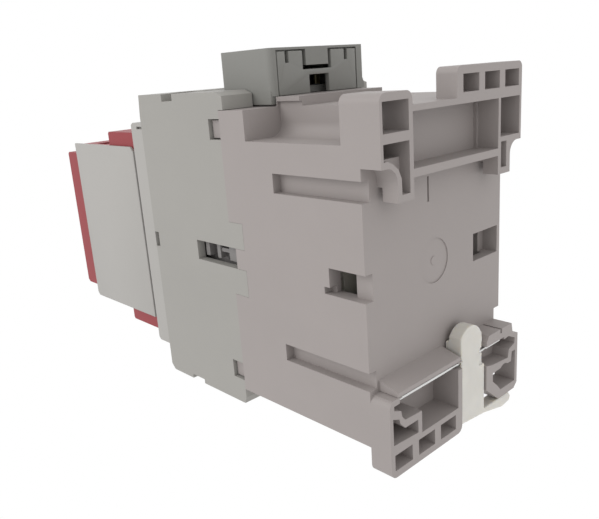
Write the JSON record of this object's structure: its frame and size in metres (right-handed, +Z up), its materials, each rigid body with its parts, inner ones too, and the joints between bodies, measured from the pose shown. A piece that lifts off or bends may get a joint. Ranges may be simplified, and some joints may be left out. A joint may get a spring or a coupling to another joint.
{
  "type": "rail-mounted contactor",
  "caption": "Rail-mounted three-pole contactor with a sprung rail latch, screw terminals, a front auxiliary contact block and a plug-in coil module.",
  "frame": {"origin": "middle of the rail channel and of the two mounting holes, on the mounting plane", "axes": "+Y towards the panel, so the front faces -Y; +Z up; X across the poles"},
  "size_m": [0.0456, 0.1195, 0.0817],
  "materials": {
    "housing": "moulded warm grey polyamide, fine satin",
    "casing": "moulded grey polyamide, fine satin",
    "module": "dark grey moulded plastic",
    "side_cover": "moulded grey plastic",
    "red_housing": "moulded red plastic",
    "latch_nylon": "translucent off-white nylon",
    "spring_steel": "bright drawn wire",
    "magnet_steel": "stacked electrical steel",
    "copper": "bare copper",
    "contact_brass": "plated brass",
    "silver_alloy": "silver alloy contact facing",
    "screw_steel": "zinc plated steel",
    "enamelled_wire": "enamelled copper winding",
    "bobbin_plastic": "natural nylon",
    "carrier_plastic": "black moulded plastic",
    "pad_rubber": "soft black rubber",
    "varistor_blue": "dipped epoxy"
  },
  "bodies": {
    "root": {"aux_bottom_contacts": "contact_brass", "aux_bottom_screws": "screw_steel", "aux_bottom_washers": "screw_steel", "aux_front_cover": "red_housing", "aux_housing": "red_housing", "aux_side_far": "side_cover", "aux_side_near": "side_cover", "aux_top_contacts": "contact_brass", "aux_top_screws": "screw_steel", "aux_top_washers": "screw_steel", "coil_bobbin": "bobbin_plastic", "coil_screws": "screw_steel", "coil_terminal_1": "contact_brass", "coil_terminal_2": "contact_brass", "coil_winding": "enamelled_wire", "core_buffer": "pad_rubber", "front_casing": "casing", "front_frame": "side_cover", "latch_spring": "spring_steel", "line_contact_1": "copper", "line_contact_2": "copper", "line_contact_3": "copper", "line_screws": "screw_steel", "line_tips": "silver_alloy", "line_washers": "screw_steel", "load_contact_1": "copper", "load_contact_2": "copper", "load_contact_3": "copper", "load_screws": "screw_steel", "load_tips": "silver_alloy", "load_washers": "screw_steel", "magnet_core": "magnet_steel", "module_housing": "module", "module_lid": "module", "module_pin_1": "contact_brass", "module_pin_2": "contact_brass", "module_varistor": "varistor_blue", "rear_housing": "housing", "return_spring_1": "spring_steel", "return_spring_2": "spring_steel", "shading_ring_1": "copper", "shading_ring_2": "copper"},
    "carrier": {"contact_carrier": "carrier_plastic", "armature": "magnet_steel", "armature_clip": "spring_steel", "contact_spring_1": "spring_steel", "contact_spring_2": "spring_steel", "contact_spring_3": "spring_steel"},
    "bridges": {"bridge_1": "copper", "bridge_2": "copper", "bridge_3": "copper", "bridge_tips": "silver_alloy"},
    "aux_carrier": {"aux_carrier": "carrier_plastic", "aux_springs": "spring_steel"},
    "aux_bridges": {"aux_bridges": "contact_brass"},
    "latch": {"latch_slider": "latch_nylon"}
  },
  "joints": [
    {"name": "carrier_slide", "type": "slide", "parent": "root", "child": "carrier", "axis": [0, 1, 0], "range_m": [0, 0.005], "stiffness_N_per_m": 1000, "springref_m": -0.005, "deforming": ["return_spring_1", "return_spring_2"]},
    {"name": "bridges_slide", "type": "slide", "parent": "carrier", "child": "bridges", "axis": [0, 1, 0], "range_m": [-0.0012, 0], "deforming": ["contact_spring_1", "contact_spring_2", "contact_spring_3"]},
    {"name": "aux_carrier_slide", "type": "slide", "parent": "root", "child": "aux_carrier", "axis": [0, 1, 0], "range_m": [0, 0.005]},
    {"name": "aux_bridges_slide", "type": "slide", "parent": "aux_carrier", "child": "aux_bridges", "axis": [0, 1, 0], "range_m": [-0.001, 0], "deforming": ["aux_springs"]},
    {"name": "latch_slide", "type": "slide", "parent": "root", "child": "latch", "axis": [0, 0, -1], "range_m": [0, 0.0035], "stiffness_N_per_m": 1500, "springref_m": -0.001, "deforming": ["latch_spring"]}
  ],
  "couplings": [
    {"joint": "bridges_slide", "follows": "carrier_slide", "ratio": -0.24},
    {"joint": "aux_carrier_slide", "follows": "carrier_slide", "ratio": 1},
    {"joint": "aux_bridges_slide", "follows": "carrier_slide", "ratio": -0.2}
  ]
}
